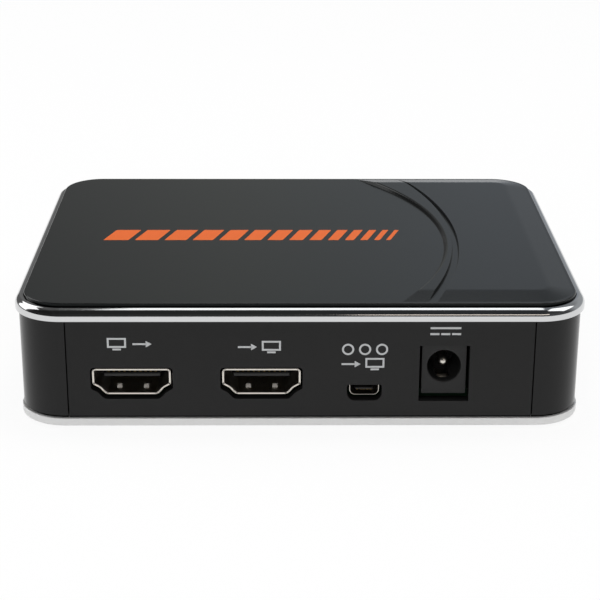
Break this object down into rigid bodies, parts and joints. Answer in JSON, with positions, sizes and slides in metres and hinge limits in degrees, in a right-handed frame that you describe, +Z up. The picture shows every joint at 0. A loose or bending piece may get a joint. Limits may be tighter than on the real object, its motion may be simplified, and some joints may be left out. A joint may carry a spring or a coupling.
{
  "type": "video capture box",
  "caption": "Flat black box with round corners, a chrome bezel and a silver base strip; takes video in at its rear sockets, passes it on and records it at the press of a front button.",
  "frame": {"origin": "middle of the box's footprint, on the surface that the feet rest on", "axes": "+X along the width, to the right as the connector panel is seen; the connector panel faces -Y; +Z up"},
  "size_m": [0.1092, 0.0848, 0.0259],
  "materials": {
    "top_gloss": "high gloss black",
    "chrome": "bright plated plastic",
    "case_gloss": "gloss black",
    "panel_matt": "fine matt black",
    "base_matt": "fine matt black",
    "silver_trim": "satin silver",
    "rubber": "soft black",
    "black_steel": "black oxide",
    "zinc_steel": "zinc plated",
    "board_green": "solder mask",
    "nickel": "nickel plated",
    "socket_black": "moulded black",
    "gold": "gold flash",
    "jack_black": "moulded black",
    "button_red": "gloss red",
    "stem_white": "moulded white",
    "clear_pipe": "clear moulded",
    "chip_black": "moulded black",
    "pad_grey": "soft grey",
    "heatsink_black": "black anodised",
    "ferrite": "sintered",
    "can_aluminium": "bare can",
    "ceramic_tan": "fired ceramic"
  },
  "bodies": {
    "case": {"top_panel": "top_gloss", "top_bezel": "chrome", "top_cover": "case_gloss", "rear_panel": "panel_matt", "front_panel": "panel_matt", "bottom_cover": "base_matt", "bottom_trim": "silver_trim", "rubber_feet": "rubber", "case_screws": "black_steel", "board_screws": "zinc_steel", "main_board": "board_green", "hdmi_output_shell": "nickel", "hdmi_output_insulator": "socket_black", "hdmi_output_contacts": "gold", "hdmi_input_shell": "nickel", "hdmi_input_insulator": "socket_black", "hdmi_input_contacts": "gold", "component_socket_shell": "nickel", "component_socket_insulator": "socket_black", "component_socket_contacts": "gold", "dc_jack_housing": "jack_black", "dc_jack_pin": "nickel", "dc_jack_spring": "nickel", "usb_socket_shell": "nickel", "usb_socket_insulator": "socket_black", "usb_socket_contacts": "gold", "mic_jack_body": "jack_black", "mic_jack_contacts": "nickel", "record_switch_body": "socket_black", "record_switch_cover": "nickel", "record_switch_dome": "nickel", "status_light_pipe": "clear_pipe", "status_led": "stem_white", "video_processor": "chip_black", "thermal_pad": "pad_grey", "heatsink": "heatsink_black", "memory_chips": "chip_black", "flash_memory": "chip_black", "hdmi_receiver_chip": "chip_black", "hdmi_transmitter_chip": "chip_black", "component_decoder": "chip_black", "audio_codec": "chip_black", "crystal": "nickel", "power_inductors": "ferrite", "electrolytic_capacitors": "can_aluminium", "voltage_regulator": "chip_black", "ceramic_capacitors": "ceramic_tan"},
    "button": {"record_button": "button_red", "record_switch_stem": "stem_white"}
  },
  "joints": [
    {"name": "record_press", "type": "slide", "parent": "case", "child": "button", "axis": [0, -1, 0], "range_m": [0, 0.0004], "stiffness_N_per_m": 4000}
  ]
}
